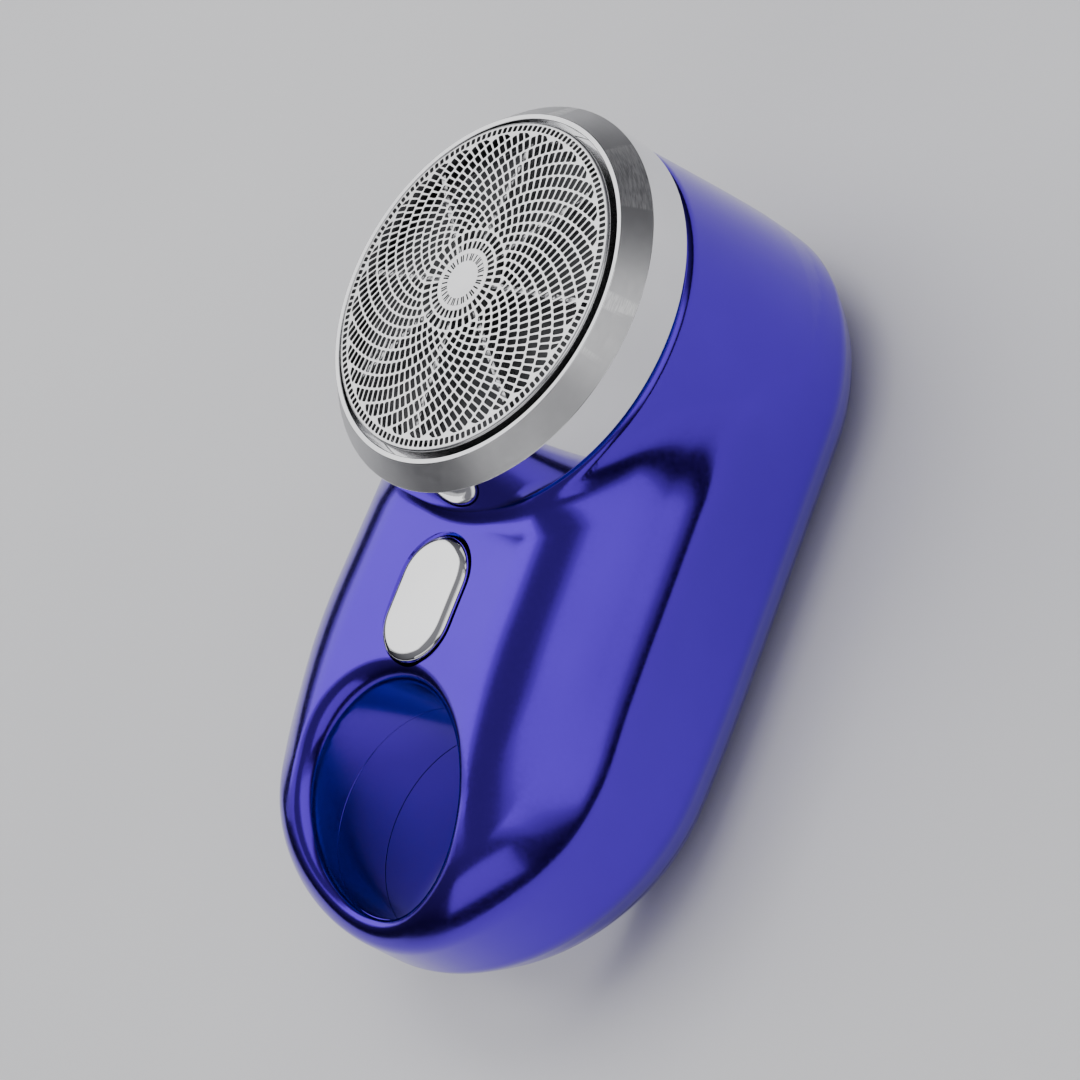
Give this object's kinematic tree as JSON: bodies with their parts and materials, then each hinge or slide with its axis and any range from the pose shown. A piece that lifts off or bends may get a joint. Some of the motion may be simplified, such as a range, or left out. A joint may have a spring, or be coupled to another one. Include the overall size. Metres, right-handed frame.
{
  "type": "electric shaver",
  "caption": "Palm-sized rotary foil shaver with a round domed foil in a chrome ring, a finger hole, a push button and a charging inlet.",
  "frame": {"origin": "on the back face, at the middle of the shaver's length and width", "axes": "+Z out of the shaving head along the cutter axis, +Y from the finger hole towards the head, +X sideways, the charging inlet on the -X side"},
  "size_m": [0.0436, 0.079, 0.0379],
  "materials": {
    "violet_plating": "mirror-like metallic violet-blue plating on moulded plastic",
    "black_rubber": "matt black rubber",
    "zinc_steel": "zinc plated steel screws",
    "black_plastic": "fine satin black plastic",
    "ring_chrome": "polished chrome band with a satin bevel",
    "foil_steel": "thin electroformed steel foil with small slots",
    "grey_plastic": "grey moulded plastic",
    "blade_steel": "ground blade steel",
    "spring_steel": "drawn spring wire",
    "white_plastic": "white low-friction plastic",
    "can_steel": "drawn steel can",
    "ferrite": "dull grey-black bonded magnet",
    "brass_tab": "tinned brass tab",
    "button_chrome": "mirror chrome",
    "board_green": "green solder mask on glass epoxy",
    "chip_epoxy": "moulded black epoxy",
    "cell_pouch": "silver laminated pouch",
    "nickel": "nickel strip",
    "grey_foam": "closed-cell grey foam",
    "socket_steel": "nickel plated sheet",
    "lead_red": "red insulation",
    "lead_black": "black insulation",
    "lead_white": "white insulation"
  },
  "bodies": {
    "housing": {"front_shell": "violet_plating", "back_shell": "violet_plating", "finger_hole_liner": "violet_plating", "shell_gasket": "black_rubber", "shell_screws": "zinc_steel", "head_seat": "black_plastic", "head_gasket": "black_rubber", "shaft_seal": "black_rubber", "motor_can": "can_steel", "motor_magnets": "ferrite", "motor_cap": "black_plastic", "motor_terminals": "brass_tab", "motor_bracket": "grey_plastic", "bracket_screws": "zinc_steel", "switch_body": "black_plastic", "main_board": "board_green", "board_screws": "zinc_steel", "board_chips": "chip_epoxy", "battery_cell": "cell_pouch", "battery_tabs": "nickel", "battery_pad": "grey_foam", "charge_board": "board_green", "charging_socket": "socket_steel", "motor_leads": "lead_red", "cell_leads": "lead_black", "charge_leads": "lead_white"},
    "head": {"head_ring": "ring_chrome", "shaving_foil": "foil_steel", "foil_clamp": "black_plastic"},
    "rotor": {"motor_shaft": "blade_steel", "drive_coupling": "white_plastic", "cutter_spring": "spring_steel"},
    "cutter": {"cutter_hub": "grey_plastic", "cutter_blades": "blade_steel"},
    "button": {"power_button": "button_chrome"},
    "plunger": {"switch_plunger": "white_plastic"}
  },
  "joints": [
    {"name": "head_lift", "type": "slide", "parent": "housing", "child": "head", "axis": [0, 0, 1], "range_m": [0, 0.02]},
    {"name": "rotor_spin", "type": "hinge", "parent": "housing", "child": "rotor", "pos_m": [0, 0.0191, 0.02], "axis": [0, 0, 1], "continuous": true},
    {"name": "cutter_float", "type": "slide", "parent": "rotor", "child": "cutter", "axis": [0, 0, -1], "range_m": [0, 0.0005], "stiffness_N_per_m": 400, "springref_m": -0.001, "deforming": ["cutter_spring"]},
    {"name": "button_press", "type": "slide", "parent": "housing", "child": "button", "axis": [0, 0, -1], "range_m": [0, 0.0006], "stiffness_N_per_m": 1500, "springref_m": -0.0004},
    {"name": "plunger_press", "type": "slide", "parent": "housing", "child": "plunger", "axis": [0, 0, -1], "range_m": [0, 0.0006]}
  ],
  "couplings": [
    {"joint": "plunger_press", "follows": "button_press", "ratio": 1}
  ]
}
